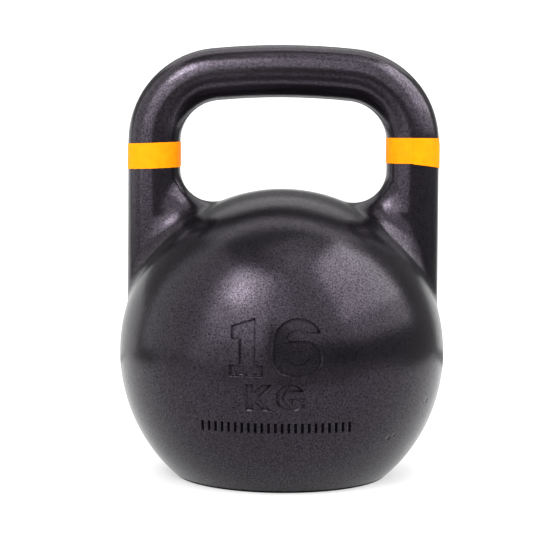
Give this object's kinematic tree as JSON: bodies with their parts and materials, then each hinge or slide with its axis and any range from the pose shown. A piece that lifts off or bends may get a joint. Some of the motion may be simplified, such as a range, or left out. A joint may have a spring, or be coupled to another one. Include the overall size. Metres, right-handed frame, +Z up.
{
  "type": "kettlebell",
  "caption": "Competition-style kettlebell: round ball with flat base, squared handle of round bar, coloured bands on the horns and a recessed mass marking.",
  "frame": {"origin": "centre of the flat base, on the plane it rests on", "axes": "+Z up; +X along the handle, from the left horn to the right horn; -Y towards the front, the side with the mass marking"},
  "size_m": [0.21, 0.21, 0.278],
  "materials": {
    "powder_coated_steel": "satin",
    "plated_steel": "satin",
    "seal_rubber": "matte",
    "shot_in_resin": "matte",
    "band_tape": "satin"
  },
  "bodies": {
    "root": {"body_casting": "powder_coated_steel", "core_plug": "plated_steel", "plug_seal": "seal_rubber", "trim_ballast": "shot_in_resin", "left_band": "band_tape", "right_band": "band_tape"}
  },
  "joints": []
}
